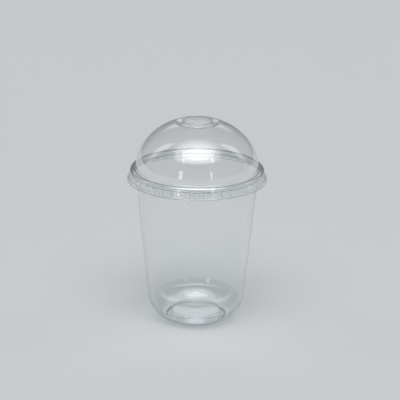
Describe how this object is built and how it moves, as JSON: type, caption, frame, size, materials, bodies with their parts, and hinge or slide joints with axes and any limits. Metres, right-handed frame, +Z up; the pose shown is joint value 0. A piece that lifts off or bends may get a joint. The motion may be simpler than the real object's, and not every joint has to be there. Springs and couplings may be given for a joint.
{
  "type": "drink cup with dome lid",
  "caption": "Clear tapered plastic drink cup with a rolled rim and a push-on dome lid that has a round straw hole in its crown.",
  "frame": {"origin": "middle of the foot ring, on the surface that the cup stands on", "axes": "+Z up along the cup's axis of turning, through the straw hole; X and Y are alike, and a snap lug of the lid lies on +X"},
  "size_m": [0.1028, 0.1028, 0.1521],
  "materials": {
    "cup_plastic": "clear thermoformed PET sheet, glossy",
    "lid_plastic": "clear thermoformed PET sheet, glossy"
  },
  "bodies": {
    "cup": {"cup": "cup_plastic"},
    "lid": {"dome_lid": "lid_plastic"}
  },
  "joints": [
    {"name": "lid_lift", "type": "slide", "parent": "cup", "child": "lid", "axis": [0, 0, 1], "range_m": [0, 0.06]}
  ]
}
